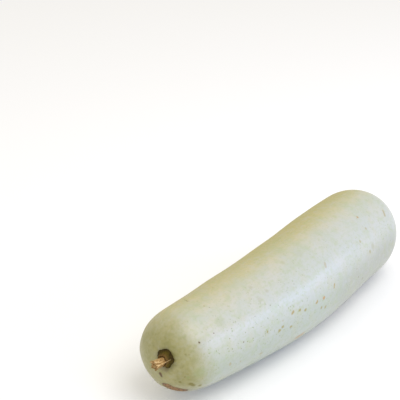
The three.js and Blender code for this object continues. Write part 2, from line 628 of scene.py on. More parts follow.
@dataclass(frozen=True)
class Flutes:
    """Faint flutes of the shoulder, which fade near the axis and towards the belly."""

    height: float = 0.00025
    reach: float = 0.070
    count: int = 10
    turn: float = 0.7
    rise: Span = (0.015, 0.035)

    def relief(self, along: float, angle: float, radius: float) -> float:
        """How far the flutes stand out at a place along the axis, round it and away from it."""
        wave = self.height * math.cos(self.count * angle + self.turn) * hill(along, self.reach)
        return wave * smooth_step(radius, *self.rise)


@dataclass(frozen=True)
class Puckers:
    """Puckers of the rind, in an uneven ring round the stem."""

    height: float = 0.00035
    ring: float = 0.0115
    width: float = 0.005
    count: int = 9
    uneven: float = 1.5

    def relief(self, distance: float, angle: float) -> float:
        """How deep the puckers are at a distance from the stem's middle and an angle round it."""
        ring = hill(distance - self.ring, self.width)
        return self.height * ring * math.cos(self.count * angle + self.uneven * math.sin(2 * angle))


@dataclass(frozen=True)
class CorkScar:
    """The corky scar low on the shoulder: a sunk strip with torn ridges.

    Its route is given as places on the rind: a distance along the axis and an angle round it.
    """

    route: tuple[tuple[float, float], ...] = ((0.0083, -110), (0.0100, -112.5), (0.0182, -118))
    width: float = 0.0057
    reach: float = 0.040
    height: float = 0.0005
    ridges_per_metre: float = 900
    finer_per_metre: float = 2100
    finer_share: float = 0.5
    sunk: float = 0.6

    def relief(self, place: Vector, route: Sequence[Vector]) -> float:
        """How far the scar stands out at a place on the rind.

        Args:
            place: The place.
            route: Places that the scar runs through.

        Returns:
            The height in metres.
        """
        if (place - route[1]).length > self.reach:
            return 0.0
        distance = min(line_distance(place, *pair) for pair in zip(route, route[1:]))
        ridges = noise.noise(place * self.ridges_per_metre)
        ridges += self.finer_share * noise.noise(place * self.finer_per_metre)
        return self.height * hill(distance, self.width) * (ridges - self.sunk)


@dataclass(frozen=True)
class BlossomScar:
    """The blossom scar: a low corky button with rays."""

    radius: float = 0.0042
    height: float = 0.0006
    rays: int = 7
    ray_share: float = 0.4
    ring_share: float = 0.5
    width_share: float = 0.4

    def relief(self, distance: float, angle: float) -> float:
        """How far the button stands out at a place on the blossom end.

        Args:
            distance: Distance from the axis.
            angle: Angle round it.

        Returns:
            The height in metres.
        """
        ray = math.cos(self.rays * angle + math.sin(3 * angle))
        ring = hill(distance - self.ring_share * self.radius, self.width_share * self.radius)
        return self.height * (1 - self.ray_share + self.ray_share * ray) * ring


@dataclass
class Fruit:
    """The fruit: a bowed body with two rounded ends, its dips, its scars and its resting flat."""

    length: float = 0.398
    shoulder_radius: float = 0.040
    belly_radius: float = 0.050
    blossom_radius: float = 0.0482
    belly_place: float = 0.49
    stem_end: RoundEnd = RoundEnd(0.037, 2.25)
    blossom_end: RoundEnd = RoundEnd(0.053, 2.0)
    bow: float = 0.0164
    tip: float = math.radians(0.19)
    swells: tuple[Swell, ...] = (
        Swell(0.0012, 1, 2.2, 3.33),
        Swell(0.0009, 2, 0.8, 0.6),
        Swell(0.0005, 3, 1.6, 2.1),
    )
    stem_dip: Dip = Dip(0.0025, 0.011)
    blossom_dip: Dip = Dip(0.0015, 0.006)
    spots: tuple[Spot, ...] = (
        Spot(0.017, -125, Dip(0.003, 0.018)),
        Spot(0.004, -5, Dip(-0.0016, 0.016)),
        Spot(0.024, 42, Dip(0.0009, 0.016)),
        Spot(0.143, 47, Dip(0.0012, 0.032)),
        Spot(0.262, 47, Dip(-0.00245, 0.062)),
        Spot(0.338, -148, Dip(-0.0012, 0.030)),
        Spot(0.360, 125, Dip(-0.0008, 0.036)),
        Spot(0.368, 47, Dip(0.0013, 0.022)),
    )
    flat_depth: float = 0.0009
    stem_side: float = -0.0115
    stem_up: float = 0.008
    lump_height: float = 0.00022
    lump_size: float = 0.030
    # Nearer to the axis than this, lumps and flutes fade.
    calm_radius: float = 0.020
    flutes: Flutes = Flutes()
    puckers: Puckers = Puckers()
    cork: CorkScar = CorkScar()
    eye: BlossomScar = BlossomScar()
    sides: int = 264
    end_steps: int = 56
    body_steps: int = 140
    shift: Vector = field(default_factory=Vector)

    @property
    def arc_radius(self) -> float:
        """Radius of the arc that the axis bows to."""
        return self.length**2 / (8 * self.bow)

    @property
    def middle(self) -> Vector:
        """Middle of the axis."""
        return self.lay(self.length / 2, 0, 0)

    def body_radius(self, along: float) -> float:
        """Radius of the body before its ends are rounded off.

        Args:
            along: Distance along the axis.

        Returns:
            The radius in metres.
        """
        share = along / self.length
        filled = blend(self.shoulder_radius, self.belly_radius, smooth_step(share, 0, self.belly_place))
        return blend(filled, self.blossom_radius, smooth_step(share, self.belly_place, 1))

    def profile(self) -> list[Vector]:
        """Profile of the fruit from the stem end to the blossom scar.

        Returns:
            Its points, as (along, radius, 0).
        """
        points = [
            Vector((reach, share * self.body_radius(reach), 0))
            for share, reach in self.stem_end.arc(self.end_steps)
        ]
        first = self.stem_end.reach
        last = self.length - self.blossom_end.reach
        for step in range(1, self.body_steps):
            along = blend(first, last, step / self.body_steps)
            points.append(Vector((along, self.body_radius(along), 0)))
        for share, reach in reversed(self.blossom_end.arc(self.end_steps)):
            along = self.length - reach
            radius = share * self.body_radius(along)
            points.append(Vector((along - self.blossom_dip.sink(radius), radius, 0)))
        return points

    def swell(self, along: float, angle: float, radius: float) -> float:
        """Slow unevenness of the rind, with its broad spots.

        Args:
            along: Distance along the axis.
            angle: Angle round it.
            radius: Distance from it.

        Returns:
            How far the rind stands out, in metres.
        """
        share = along / self.length
        total = sum(
            wave.height * math.sin(wave.around * angle + wave.along * share * TURN + wave.turn)
            for wave in self.swells
        )
        sunk = sum(spot.sink(along, angle, radius) for spot in self.spots)
        return total * share * radius / self.belly_radius - sunk

    def lay(self, along: float, side: float, up: float) -> Vector:
        """Place of a point given by its axis, with the axis bowed and tipped and the fruit in its frame.

        Args:
            along: Distance along the axis.
            side: Distance beside it.
            up: Distance above it.

        Returns:
            The place.
        """
        arc = self.arc_radius
        angle = (along - self.length / 2) / arc
        straight = (arc - side) * math.sin(angle)
        bowed = arc - (arc - side) * math.cos(angle)
        x = straight * math.cos(self.tip) + up * math.sin(self.tip)
        z = up * math.cos(self.tip) - straight * math.sin(self.tip)
        return Vector((x, bowed, z)) + self.shift

    def on_rind(self, along: float, degrees: float) -> Vector:
        """Place on the rind at a distance along the axis and an angle round it.

        Args:
            along: Distance along the axis.
            degrees: Angle round it.

        Returns:
            The place.
        """
        angle = math.radians(degrees)
        radius = self.body_radius(along)
        for end, reach in ((self.stem_end, along), (self.blossom_end, self.length - along)):
            if reach < end.reach:
                radius *= (1 - (1 - reach / end.reach) ** end.power) ** (1 / end.power)
        out = radius + self.swell(along, angle, radius)
        return self.lay(along, out * math.cos(angle), out * math.sin(angle))

    def scar_places(self) -> list[Vector]:
        """Places that the corky scar runs through."""
        return [self.on_rind(along, degrees) for along, degrees in self.cork.route]

    def reshape(self, point: Vector) -> Vector:
        """Takes a point of the spun profile to its place on the laid fruit.

        Args:
            point: The point, as (along, side, up).

        Returns:
            Its place.
        """
        angle = math.atan2(point.z, point.y)
        radius = math.hypot(point.y, point.z)
        fine = self.lump_height * noise.noise(point / self.lump_size)
        fine += self.flutes.relief(point.x, angle, radius)
        uneven = self.swell(point.x, angle, radius)
        uneven += fine * min(radius / self.calm_radius, 1.0)
        side = point.y + uneven * math.cos(angle)
        up = point.z + uneven * math.sin(angle)
        along = point.x
        if along < self.length / 2:
            along += self.stem_hollow(side - self.stem_side, up - self.stem_up)
        else:
            along += self.eye.relief(radius, angle)
        return self.lay(along, side, up)

    def stem_hollow(self, side: float, up: float) -> float:
        """Depth of the dip round the stem, with its puckered rim, at a place beside and above the stem."""
        distance = math.hypot(side, up)
        return self.stem_dip.sink(distance) + self.puckers.relief(distance, math.atan2(up, side))

    def settle(self, skin: bmesh.types.BMesh) -> None:
        """Moves the skin to where its node lies, with its corky scar and the flat that it rests on.

        Args:
            skin: The mesh, before the fruit has its place.
        """
        lowest = Vector(min(corner.co[axis] for corner in skin.verts) for axis in range(3))
        highest = Vector(max(corner.co[axis] for corner in skin.verts) for axis in range(3))
        node_low, node_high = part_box(FRUIT_NODE)
        self.shift = (node_low + node_high - lowest - highest) / 2
        self.shift.z = node_low.z - lowest.z - self.flat_depth
        route = self.scar_places()
        middle = self.middle
        for corner in skin.verts:
            moved = corner.co + self.shift
            moved += (moved - middle).normalized() * self.cork.relief(moved, route)
            moved.z = max(moved.z, node_low.z)
            corner.co = moved

    def build(self) -> bpy.types.Object:
        """Builds the fruit.

        Returns:
            The dressed piece.
        """
        skin = bmesh.new()
        for corner in spin_profile(skin, self.profile(), Vector((1, 0, 0)), self.sides):
            corner.co = self.reshape(corner.co)
        self.settle(skin)
        piece = finish_piece(skin, "fruit", RindFinish().material(self))
        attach(piece, BODY)
        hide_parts(FRUIT_NODE)
        return piece

    def stem_frame(self) -> Matrix:
        """Frame of the stem: its root on the dipped rind, +Y out along it and +Z as near up as that allows.

        Returns:
            The frame's matrix.
        """
        end = self.stem_end
        offset = math.hypot(self.stem_side, self.stem_up)
        share = offset / self.shoulder_radius
        height = (1 - share**end.power) ** (1 / end.power)
        slope = end.reach / self.shoulder_radius * (share / height) ** (end.power - 1)
        along = end.reach * (1 - height) + self.stem_dip.depth
        lean = slope / offset * PROBE
        root = self.lay(along, self.stem_side, self.stem_up)
        nearby = self.lay(along - PROBE, self.stem_side * (1 + lean), self.stem_up * (1 + lean))
        out = (nearby - root).normalized()
        across = out.cross(UP).normalized()
        over = across.cross(out)
        columns = Matrix((across, out, over)).transposed()
        return Matrix.Translation(root) @ columns.to_4x4()


@dataclass(frozen=True)
class RindPlace:
    """Where a point of the rind lies, with the slow noise that makes the broad colours wander.

    Beside is how far it is from the axis towards the hollow side, and above how far it is over the axis, as
    shares of the belly's radius. Along is how far it is past the middle, as a share of the length.
    """

    beside: Value
    above: Value
    along: Value
    drift: Value
    wander: Value


@dataclass(frozen=True)
class Zone:
    """A broad zone of the rind: the way it faces, where it starts and is full, and how its edge wanders."""

    beside: float
    above: float
    rise: Span
    wander: float = 0.0

    def shown(self, where: RindPlace) -> Value:
        """1 in the zone and 0 outside."""
        facing = self.beside * where.beside + self.above * where.above
        return (facing + self.wander * where.wander).step(*self.rise)


@dataclass(frozen=True)
class Blotch:
    """Soft blotches of one size: how strongly the deep ones and the pale ones show."""

    size: float
    deep: float
    pale: float


@dataclass(frozen=True)
class RindFinish:
    """Waxy rind: pale green beneath a white wax, yellower where the sun reached it, olive at the stem.
    Painted light is laid in by facing: a painted sheen on the band towards the bulging side, painted warm
    shade on the yellow side, and painted shade low on the bulging flank, on the stem end's lower side and
    round the collar. There is also a painted shadow below the stem.
    """

    green: Colour = srgb(180, 182, 156)
    cream: Colour = srgb(195, 187, 158)
    # Yellow of the sun side. Where it is laid by facing, it also carries a painted warm shade.
    yellow: Colour = srgb(183, 170, 105)
    # Whitish wax of the rind. Where it is laid by facing on the bulging flank, it also carries a painted
    # sheen.
    bloom_and_sheen: Colour = srgb(182, 186, 186)
    leaf: Colour = srgb(158, 172, 122)
    pore: Colour = srgb(124, 136, 88)
    # Painted shade of the underside and low bulging flank, greyer and deeper towards the blossom end.
    underside_shade: Colour = srgb(162, 170, 160)
    underside_shade_far: Colour = srgb(147, 149, 136)
    # Olive of the stem end, which also carries painted shade on its lower side.
    olive: Colour = srgb(150, 145, 92)
    moss: Colour = srgb(112, 114, 44)
    # Darker halo round the collar: partly real, partly painted shade where the collar meets the rind.
    collar_stain_and_shade: Colour = srgb(104, 98, 46)
    cork: Colour = srgb(150, 114, 72)
    cork_dark: Colour = srgb(80, 48, 18)

    drift_size: float = 0.07
    wander_share: float = 0.25
    # The yellow side facing the hollow and up: real sun yellowing plus painted warm shade.
    sunward_and_shade: Zone = Zone(0.8, 0.6, (0.2, 1.0), 1.0)
    uncovered_and_shade: Zone = Zone(-0.5, 1.0, (-0.8, 0.45), 2.0)
    # Band facing the bulging side and up: real wax plus a painted sheen.
    bloomed_and_sheen: Zone = Zone(-0.9, 0.43, (0.35, 1.0), 1.0)
    # Zone of painted shade low on the bulging flank.
    shaded: Zone = Zone(-0.75, -0.66, (0.3, 0.78), 0.5)
    flank: Zone = Zone(-1.0, -0.1, (0.2, 1.0))
    yellow_share: float = 0.9
    bloom_and_sheen_share: float = 0.7
    underside_shade_share: float = 0.8
    far_rise: Span = (-0.08, 0.16)

    patch_size: float = 0.018
    cream_rise: Span = (0.38, 0.62)
    streak_size: float = 0.003
    streak_scale: tuple[float, float, float] = (0.06, 1.0, 1.0)
    streak_deep: float = 0.16
    streak_deep_rise: Span = (0.5, 0.75)
    streak_pale: float = 0.15
    streak_pale_fall: Span = (0.25, 0.5)

    # Middle of the olive with its painted shade, set below the stem end on its bulging side.
    flush_and_shade_middle: tuple[float, float, float] = (-0.0093, -0.0063, -0.0053)
    flush_and_shade_warp: Warp = (0.004, 0.016)
    flush_and_shade_fall: Span = (0.032, 0.0655)
    flush_and_shade_share: float = 0.97
    stain_and_shade_warp: Warp = (0.0012, 0.004)
    stain_and_shade_fall: Span = (0.0075, 0.0125)
    stain_and_shade_share: float = 0.65

    warm: Patches = Patches(0.011, 2, (0.50, 0.72))
    warm_share: float = 0.12
    blotches: tuple[Blotch, ...] = (Blotch(0.0085, 0.22, 0.16), Blotch(0.0030, 0.24, 0.16))
    blotch_deep_rise: Span = (0.50, 0.70)
    blotch_pale_fall: Span = (0.30, 0.50)
    blotch_held: float = 0.5

    near_fall: Span = (-0.35, -0.05)
    mottle: Patches = Patches(0.0028, 3, (0.54, 0.72))
    mottle_share: float = 0.12
    mottle_speckled: float = 0.22
    pores: Specks = Specks(0.0026, 0.0009, 0.4, (0.0014, 0.005))
    pore_share: float = 0.25
    pore_speckled: float = 0.35
    clusters: Patches = Patches(0.011, 2, (0.42, 0.58))
    cluster_least: float = 0.2
    flecks: Specks = Specks(0.010, 0.0013, 0.45, (0.0010, 0.003))
    fleck_crowds: Patches = Patches(0.035, 1, (0.48, 0.66))
    fleck_share: float = 0.7
    pits: Specks = Specks(0.016, 0.0008, 0.3)
    pit_share: float = 0.6

    mark_warp: Warp = (0.0010, 0.0026)
    mark_edge: Span = (0.35, 1.15)
    scar_warp: Warp = (0.0014, 0.004)
    eye_edge: Span = (0.6, 1.0)
    strip_edge: Span = (0.75, 1.25)
    crack_size: float = 0.0012
    crack_scale: tuple[float, float, float] = (0.4, 1.0, 1.0)
    crack_rise: Span = (0.34, 0.56)
    scar_rim: float = 3.2

    roughness: float = 0.31
    roughness_range: float = 0.10
    cork_rougher: float = 0.35
    sunny_rougher: float = 0.5
    shine: float = 0.53
    relief: float = 0.0002
    grain_size: float = 0.0016
    grain_height: float = 0.5
    skin_size: float = 0.004
    skin_height: float = 0.4
    dimples: Specks = Specks(0.0022, 0.0005, 0.6)
    dimple_depth: float = 0.3

    def material(self, fruit: Fruit) -> bpy.types.Material:
        """Makes the rind's material.

        Args:
            fruit: The fruit that it is for, which says where the marks lie.

        Returns:
            The material.
        """
        recipe = Recipe("waxy_rind")
        where = self.locate(recipe, fruit)
        # Painted warm shade: the yellow side is also darker and warmer because of how light falls there.
        sun_side_and_shade = self.sunward_and_shade.shown(where) * self.uncovered_and_shade.shown(where)
        flush_and_shade = self.flush_and_shade(recipe, fruit)
        colour = self.ground(recipe, where, sun_side_and_shade)
        colour = self.fine_marks(recipe, where, colour)
        # Olive of the stem end, with painted shade on its lower side.
        colour = recipe.mix(colour, self.olive, self.flush_and_shade_share * flush_and_shade)
        colour = self.mottling(recipe, colour, flush_and_shade)
        # Halo round the collar, with painted shade at its base.
        colour = recipe.mix(colour, self.collar_stain_and_shade, self.stain_and_shade_share * self.stain_and_shade(recipe, fruit))
        colour = self.placed_marks(recipe, colour, fruit)
        scar = self.scar(recipe, fruit)
        cracks = recipe.grain(self.crack_size, 3, recipe.stretched(self.crack_scale))
        cork = recipe.mix(self.cork_dark, self.cork, cracks.step(*self.crack_rise))
        colour = recipe.mix(colour, cork, scar)
        colour = recipe.mix(colour, self.cork_dark, self.scar_rim * (scar * (1 - scar)))
        skin = recipe.grain(self.skin_size, 3)
        roughness = self.roughness + self.roughness_range * (skin - 0.5)
        roughness = roughness + self.cork_rougher * scar + self.sunny_rougher * sun_side_and_shade
        height = self.grain_height * recipe.grain(self.grain_size, 2) + self.skin_height * skin
        height = height - self.dimple_depth * self.dimples.shown(recipe) + cracks * scar
        return recipe.dress(colour, roughness, height, self.relief, self.shine)

    def locate(self, recipe: Recipe, fruit: Fruit) -> RindPlace:
        """Works out where a point of the rind lies.

        Args:
            recipe: The material in the making.
            fruit: The fruit that it is for.

        Returns:
            Its place about the bowed axis.
        """
        centre = fruit.lay(fruit.length / 2, fruit.arc_radius, 0)
        level = recipe.vector("MULTIPLY", recipe.vector("SUBTRACT", recipe.place, centre), (1, 1, 0))
        out = recipe.node("ShaderNodeVectorMath", {"operation": "LENGTH"}, {0: level}, "Value")
        drift = recipe.grain(self.drift_size, 2)
        return RindPlace(
            beside=(fruit.arc_radius - out) * (1 / fruit.belly_radius),
            above=recipe.slope(centre, (0, 0, 1), fruit.belly_radius),
            along=recipe.slope(fruit.middle, (1, 0, 0), fruit.length),
            drift=drift,
            wander=self.wander_share * (drift - 0.5),
        )

    def ground(self, recipe: Recipe, where: RindPlace, sun_side_and_shade: Value) -> Value:
        """Broad colours of the rind, with its long faint streaks, and painted sheen, painted warm shade and
        painted shade laid by the way the rind faces.

        Args:
            recipe: The material in the making.
            where: Where a point of the rind lies.
            sun_side_and_shade: Where the sun reached the rind, with painted warm shade on that side.

        Returns:
            The colour.
        """
        patches = recipe.grain(self.patch_size, 3)
        ripe = (0.5 * where.drift + 0.5 * patches).step(*self.cream_rise)
        colour = recipe.mix(self.green, self.cream, ripe)
        # Sun yellowing, with painted warm shade on the side facing the hollow and up.
        colour = recipe.mix(colour, self.yellow, self.yellow_share * sun_side_and_shade)
        # Painted sheen: whitish wax laid on the band that faces the bulging side and up.
        colour = recipe.mix(colour, self.bloom_and_sheen, self.bloom_and_sheen_share * self.bloomed_and_sheen.shown(where))
        # Painted shade: darker, greyer rind low on the bulging flank, deeper towards the blossom end.
        underside_shade = recipe.mix(self.underside_shade, self.underside_shade_far, where.along.step(*self.far_rise))
        colour = recipe.mix(colour, underside_shade, self.underside_shade_share * self.shaded.shown(where))
        streaks = recipe.grain(self.streak_size, 4, recipe.stretched(self.streak_scale))
        colour = recipe.mix(colour, self.leaf, self.streak_deep * streaks.step(*self.streak_deep_rise))
        return recipe.mix(colour, self.bloom_and_sheen, self.streak_pale * streaks.within(self.streak_pale_fall))

    def flush_and_shade(self, recipe: Recipe, fruit: Fruit) -> Value:
        """Where olive spreads over the shoulder from the stem end, with painted shade on its lower side, as 1
        there and 0 elsewhere.
        """
        distance = recipe.away(recipe.warped(*self.flush_and_shade_warp), fruit.lay(*self.flush_and_shade_middle))
        return distance.within(self.flush_and_shade_fall)

    def stain_and_shade(self, recipe: Recipe, fruit: Fruit) -> Value:
        """Where the rind is stained round the stem's collar, with painted shade where the collar meets it."""
        root = fruit.stem_frame().translation
        return recipe.away(recipe.warped(*self.stain_and_shade_warp), root).within(self.stain_and_shade_fall)

    def mottling(self, recipe: Recipe, colour: Value, flush_and_shade: Value) -> Value:
        """Soft blotches, some deeper and some paler than the rind round them.

        Args:
            recipe: The material in the making.
            colour: The rind's colour so far.
            flush_and_shade: Where the rind is olive, with painted shade on the stem end.

        Returns:
            The colour.
        """
        colour = recipe.mix(colour, self.yellow, self.warm_share * self.warm.shown(recipe))
        deeper = recipe.mix(self.leaf, self.moss, flush_and_shade)
        for blotch in self.blotches:
            grain = recipe.grain(blotch.size, 2)
            colour = recipe.mix(colour, deeper, blotch.deep * grain.step(*self.blotch_deep_rise))
            lifted = (1 - self.blotch_held * flush_and_shade) * grain.within(self.blotch_pale_fall)
            colour = recipe.mix(colour, self.bloom_and_sheen, blotch.pale * lifted)
        return colour

    def fine_marks(self, recipe: Recipe, where: RindPlace, colour: Value) -> Value:
        """Mottling, pores and scattered tan flecks, thickest low on the bulging flank and near the stem.

        Args:
            recipe: The material in the making.
            where: Where a point of the rind lies.
            colour: The rind's colour so far.

        Returns:
            The colour.
        """
        speckled = self.flank.shown(where) * (2 - where.along.step(*self.near_fall))
        mottled = (self.mottle_share + self.mottle_speckled * speckled) * self.mottle.shown(recipe)
        colour = recipe.mix(colour, self.leaf, mottled)
        clusters = self.cluster_least + (1 - self.cluster_least) * self.clusters.shown(recipe)
        pores = clusters * self.pores.shown(recipe)
        colour = recipe.mix(colour, self.pore, (self.pore_share + self.pore_speckled * speckled) * pores)
        flecks = self.fleck_crowds.shown(recipe) * self.flecks.shown(recipe)
        colour = recipe.mix(colour, MarkTone.TAN.value, self.fleck_share * flecks)
        return recipe.mix(colour, MarkTone.DARK.value, self.pit_share * self.pits.shown(recipe))

    def placed_marks(self, recipe: Recipe, colour: Value, fruit: Fruit) -> Value:
        """Marks that have a place of their own.

        Args:
            recipe: The material in the making.
            colour: The rind's colour so far.
            fruit: The fruit that they lie on.

        Returns:
            The colour.
        """
        place = recipe.warped(*self.mark_warp)
        for tone, marks in MARKS.items():
            for mark in marks:
                start = fruit.on_rind(mark.along, mark.degrees)
                end = None
                if mark.end_along is not None:
                    end = fruit.on_rind(mark.end_along, mark.end_degrees)
                shown = recipe.away(place, start, end).within(self.mark_edge, mark.radius)
                colour = recipe.mix(colour, tone.value, mark.strength * shown)
        return colour

    def scar(self, recipe: Recipe, fruit: Fruit) -> Value:
        """Where the rind is corky: the scar on the shoulder and the blossom scar.

        Args:
            recipe: The material in the making.
            fruit: The fruit that they lie on.

        Returns:
            1 on cork and 0 elsewhere.
        """
        place = recipe.warped(*self.scar_warp)
        places = fruit.scar_places()
        tip = fruit.on_rind(fruit.length, 0)
        shown = recipe.away(place, tip).within(self.eye_edge, fruit.eye.radius)
        for pair in zip(places, places[1:]):
            strip = recipe.away(place, *pair).within(self.strip_edge, fruit.cork.width)
            shown = shown.larger(strip)
        return shown


@dataclass
class Stem:
    """The broken stem: an olive collar with five corners, a torn woody core, and loose splinters."""

    frame: Matrix
    length: float = 0.0190
    rise: float = 0.0004
    root_depth: float = 0.003
    sides: int = 120
    ribs: int = 5
    rib_share: float = 0.10
    rib_turn: float = math.radians(28)
    rag_height: float = 0.0011
    rag_drift: float = 0.37
    rag_finer: float = 2.7
    rag_finer_share: float = 0.6

    collar_radius: float = 0.0088
    collar_height: float = 0.0066
    # Shares of the collar's radius, with shares of the root's depth, then of the collar's height.
    collar_root: tuple[tuple[float, float], ...] = ((0.0, 1.0), (0.80, 1.0), (0.97, 0.15))
    collar_outline: tuple[tuple[float, float], ...] = (
        (1.00, 0.08),
        (0.96, 0.18),
        (0.86, 0.28),
        (0.76, 0.40),
        (0.68, 0.56),
        (0.62, 0.74),
        (0.58, 0.92),
        (0.55, 1.00),
        (0.51, 0.98),
        (0.46, 0.80),
        (0.0, 0.70),
    )
    collar_spread: Span = (0.3, 0.8)
    collar_lean: float = 0.13
    lean_turn: float = math.radians(42)
    corner_share: float = 0.6
    fold_share: float = 0.05
    fold_pace: float = 3.1
    rim_rise: Span = (0.5, 1.0)
    rim_pace: float = 4.3

    shaft_radius: float = 0.0041
    core_steps: int = 40
    end_steps: int = 6
    hollow_depth: float = 0.0018
    hollow_rise: Span = (0.0, 0.6)
    tip_rise: Span = (0.7, 1.0)
    tip_swell: float = 0.16
    waist: float = 0.05
    lump_share: float = 0.06
    lump_pace: float = 2
    lumps_per_metre: float = 220
    grooves: int = 19
    groove_depth: float = 0.00028
    groove_wander: float = 2
    wanders_per_metre: float = 90
    torn_rise: Span = (0.80, 1.0)
    tear_slant: float = 0.0020
    tear_turn: float = math.radians(140)
    tear_tooth: float = 0.0008
    tear_pace: float = 5.2
    tear_pace_inside: float = 2

    splinters: int = 9
    splinter_length: float = 0.0042
    splinter_radius: float = 0.00042
    splinter_root: float = 0.004
    splinter_bend: float = 0.6
    angle_draw: Span = (-0.3, 0.3)
    radius_draw: Span = (0.65, 1.08)
    reach_draw: Span = (0.9, 1.5)
    flare_draw: Span = (-0.3, 0.35)
    thickness_draw: Span = (0.7, 1.2)
    strand_share: float = 0.75
    sliver_sides: int = 6
    sliver_steps: int = 6
    sliver_taper: float = 0.7
    sliver_flat: tuple[float, float, float] = (0.3, 0.2, 0.9)
    seed: int = 7

    def bend(self, point: Vector) -> Vector:
        """Raises a point of the stem by how far out it is, and takes it to the gourd's frame."""
        rise = self.rise * (max(point.y, 0.0) / self.length) ** 2
        return self.frame @ (point + Vector((0, 0, rise)))

    def spun(self, profile: Sequence[tuple[float, float]], rule: Rule) -> bmesh.types.BMesh:
        """Spins a profile round the stem and reshapes it.

        Args:
            profile: Pairs of a radius and a height above the rind.
            rule: Takes radius, height and angle to a new radius and height.

        Returns:
            The mesh, in the gourd's frame.
        """
        points = [Vector((radius, height, 0)) for radius, height in profile]
        skin = bmesh.new()
        for corner in spin_profile(skin, points, Vector((0, 1, 0)), self.sides):
            angle = math.atan2(corner.co.z, corner.co.x)
            radius, height = rule(math.hypot(corner.co.x, corner.co.z), corner.co.y, angle)
            corner.co = self.bend(Vector((radius * math.cos(angle), height, radius * math.sin(angle))))
        return skin

    def rib(self, angle: float) -> float:
        """Rib round the stem, from -1 in a furrow to 1 on a rib."""
        return math.cos(self.ribs * (angle - self.rib_turn))

    def rag(self, angle: float, pace: float) -> float:
        """Ragged wave round the stem, from about -1 to 1."""
        ring = Vector((math.cos(angle), math.sin(angle), self.rag_drift * pace))
        return noise.noise(ring * pace) + self.rag_finer_share * noise.noise(ring * pace * self.rag_finer)

    def collar(self) -> bpy.types.Object:
        """Builds the collar, which spreads on the rind and ends in a ragged rim round the core.

        Returns:
            The dressed piece.
        """
        wide, top = self.collar_radius, self.collar_height
        profile = [(share * wide, -deep * self.root_depth) for share, deep in self.collar_root]
        profile += [(share * wide, high * top) for share, high in self.collar_outline]
        return finish_piece(self.spun(profile, self.collar_shape), "stem_collar", CollarSkin().material(self))

    def collar_shape(self, radius: float, height: float, angle: float) -> tuple[float, float]:
        """Gives the collar its corners, its folds, its lean and its ragged rim.

        Args:
            radius: Distance from the stem's middle.
            height: Height above the rind.
            angle: Angle round the stem.

        Returns:
            The new radius and height.
        """
        spread = smooth_step(radius / self.collar_radius, *self.collar_spread)
        fold = self.fold_share * self.rag(angle, self.fold_pace) * spread
        corner = self.corner_share * self.rib_share * self.rib(angle)
        lean = self.collar_lean * math.cos(angle - self.lean_turn) * spread
        rim = smooth_step(height / self.collar_height, *self.rim_rise)
        ragged = self.rag_height * rim * self.rag(angle, self.rim_pace)
        return radius * (1 + corner + fold + lean), height + ragged

    def core(self) -> bpy.types.Object:
        """Builds the woody core: ribbed and grooved, a little wider at its torn end, which is hollowed.

        Returns:
            The dressed piece.
        """
        wide = self.shaft_radius
        profile = [(0.0, -self.root_depth)]
        for step in range(self.core_steps + 1):
            share = step / self.core_steps
            profile.append((wide, blend(-self.root_depth, self.length, share)))
        for step in range(1, self.end_steps + 1):
            share = step / self.end_steps
            hollow = self.hollow_depth * smooth_step(share, *self.hollow_rise)
            profile.append((wide * (1 - share), self.length - hollow))
        return finish_piece(self.spun(profile, self.core_shape), "stem_core", CoreWood().material(self))

    def core_shape(self, radius: float, height: float, angle: float) -> tuple[float, float]:
        """Gives the core its ribs, its grooves, its swollen end and its tear.

        Args:
            radius: Distance from the stem's middle.
            height: Height above the rind.
            angle: Angle round the stem.

        Returns:
            The new radius and height.
        """
        outer = radius / self.shaft_radius
        tip = smooth_step(height / self.length, *self.tip_rise)
        swollen = 1 + self.rib_share * self.rib(angle) + self.tip_swell * tip - self.waist * (1 - tip)
        pace = self.lump_pace
        spot = Vector((pace * math.cos(angle), pace * math.sin(angle), height * self.lumps_per_metre))
        lumpy = self.lump_share * noise.noise(spot)
        wander = self.groove_wander * noise.noise(Vector((angle, height * self.wanders_per_metre, 0)))
        groove = self.groove_depth * abs(math.sin(self.grooves * angle / 2 + wander))
        tear = self.tear_slant * math.cos(angle - self.tear_turn) + self.tear_tooth * self.rib(angle)
        tear += self.rag_height * self.rag(angle, self.tear_pace + self.tear_pace_inside * (1 - outer))
        torn = smooth_step(height / self.length, *self.torn_rise)
        return radius * (swollen + lumpy) - groove * outer, height + torn * tear * outer

    def sliver(self, skin: bmesh.types.BMesh, route: Sequence[Vector], radius: float) -> None:
        """Adds a thin tapering sliver that follows a bent route.

        Args:
            skin: The mesh to add it to.
            route: Three points in the stem's own frame.
            radius: Radius at its thick end.
        """
        start, middle, end = route
        shares = [step / self.sliver_steps for step in range(self.sliver_steps + 1)]
        profile = [Vector((radius * (1 - self.sliver_taper * share), 0, share)) for share in shares]
        profile = [Vector((0, 0, 0)), *profile, Vector((0, 0, 1))]
        for corner in spin_profile(skin, profile, UP, self.sliver_sides):
            share = corner.co.z
            before = start.lerp(middle, share)
            after = middle.lerp(end, share)
            heading = (after - before).normalized()
            beside = heading.cross(Vector(self.sliver_flat)).normalized()
            spot = before.lerp(after, share)
            spot += beside * corner.co.x + heading.cross(beside) * corner.co.y
            corner.co = self.bend(spot)

    def strand(self) -> tuple[Vector, Vector, Vector]:
        """Route of the strand that has peeled from the core back to the collar.

        Returns:
            Three points in the stem's own frame.
        """
        shaft, wide, reach = self.shaft_radius, self.collar_radius, self.length
        start = Vector((-shaft, 0.55 * reach, 0.10 * shaft))
        middle = Vector((-1.2 * shaft, 0.40 * reach, 0.35 * shaft))
        end = Vector((-0.88 * wide, 0.25 * reach, 0.42 * wide))
        return start, middle, end

